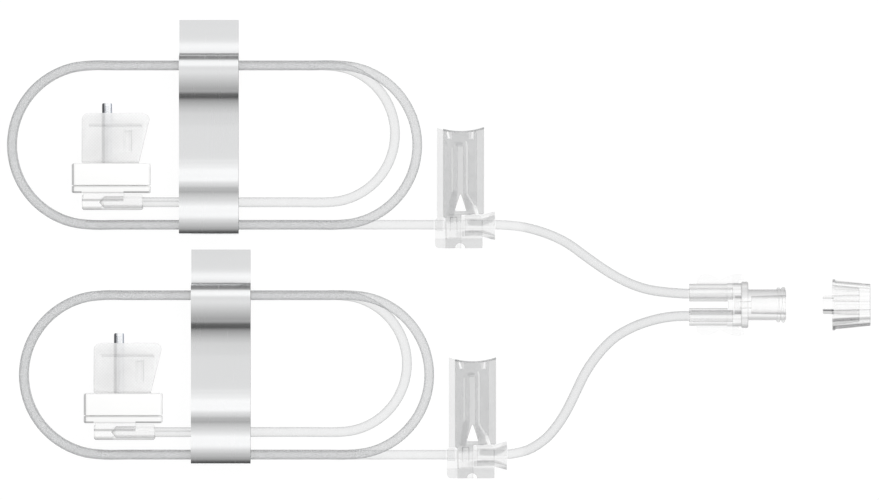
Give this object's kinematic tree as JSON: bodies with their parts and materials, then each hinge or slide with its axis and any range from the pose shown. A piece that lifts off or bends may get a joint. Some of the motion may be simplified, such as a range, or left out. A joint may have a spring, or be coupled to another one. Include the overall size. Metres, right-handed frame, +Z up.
{
  "type": "subcutaneous infusion set",
  "caption": "Infusion set laid flat: coiled tubing in storage bands, winged needle units with sheaths, pinch clamps, and a branch fitting with a tapered socket and its removed end cap.",
  "frame": {"origin": "on the surface it lies on, below the middle of the box round everything but the tubing", "axes": "+X from the coils to the end cap, +Y the way the needles point, +Z up from the surface"},
  "size_m": [0.1876, 0.0996, 0.0113],
  "materials": {
    "tubing": "clear, soft, glossy",
    "band": "satin silver-grey film",
    "white": "opaque white, fine matt",
    "clear": "clear moulding, glossy",
    "wing": "frosted, finely cross-hatched",
    "sheath": "clear with a bluish cast",
    "steel": "bright ground steel"
  },
  "bodies": {
    "root": {"tubing_coil_a": "tubing", "tubing_coil_b": "tubing", "tubing_needle_end_a": "tubing", "tubing_needle_end_b": "tubing", "tubing_connector_end_a": "tubing", "tubing_connector_end_b": "tubing", "storage_band_a": "band", "storage_band_b": "band", "base_block_a": "white", "base_block_b": "white", "base_cover_a": "white", "base_cover_b": "white", "tube_hub_a": "clear", "tube_hub_b": "clear", "needle_a": "steel", "needle_b": "steel", "clamp_base_a": "clear", "clamp_base_b": "clear", "branch_body": "clear", "taper_socket": "clear"},
    "sheath_a": {"needle_sheath_a": "sheath"},
    "sheath_b": {"needle_sheath_b": "sheath"},
    "wing_front_a": {"wing_front_a": "wing"},
    "wing_front_b": {"wing_front_b": "wing"},
    "wing_rear_a": {"wing_rear_a": "wing"},
    "wing_rear_b": {"wing_rear_b": "wing"},
    "lever_a": {"clamp_lever_a": "clear"},
    "lever_b": {"clamp_lever_b": "clear"},
    "cap": {"end_cap": "clear"}
  },
  "joints": [
    {"name": "sheath_slide_a", "type": "slide", "parent": "root", "child": "sheath_a", "axis": [0, 1, 0], "range_m": [0, 0.0068]},
    {"name": "sheath_slide_b", "type": "slide", "parent": "root", "child": "sheath_b", "axis": [0, 1, 0], "range_m": [0, 0.0068]},
    {"name": "wing_front_hinge_a", "type": "hinge", "parent": "root", "child": "wing_front_a", "pos_m": [-0.07914, 0.01935, 0.0063], "axis": [1, 0, 0], "range_deg": [0, 90]},
    {"name": "wing_front_hinge_b", "type": "hinge", "parent": "root", "child": "wing_front_b", "pos_m": [-0.07654, -0.03066, 0.0063], "axis": [1, 0, 0], "range_deg": [0, 90]},
    {"name": "wing_rear_hinge_a", "type": "hinge", "parent": "root", "child": "wing_rear_a", "pos_m": [-0.07914, 0.01935, 0.0027], "axis": [-1, 0, 0], "range_deg": [0, 90]},
    {"name": "wing_rear_hinge_b", "type": "hinge", "parent": "root", "child": "wing_rear_b", "pos_m": [-0.07654, -0.03066, 0.0027], "axis": [-1, 0, 0], "range_deg": [0, 90]},
    {"name": "lever_hinge_a", "type": "hinge", "parent": "root", "child": "lever_a", "pos_m": [-0.00229, 0.00089, 0.0066], "axis": [-1, 0, 0], "range_deg": [0, 18], "deforming": ["tubing_connector_end_a"]},
    {"name": "lever_hinge_b", "type": "hinge", "parent": "root", "child": "lever_b", "pos_m": [0.00031, -0.04911, 0.0066], "axis": [-1, 0, 0], "range_deg": [0, 18], "deforming": ["tubing_connector_end_b"]},
    {"name": "cap_slide", "type": "slide", "parent": "root", "child": "cap", "axis": [-1, 0, 0], "range_m": [0, 0.0125]}
  ]
}
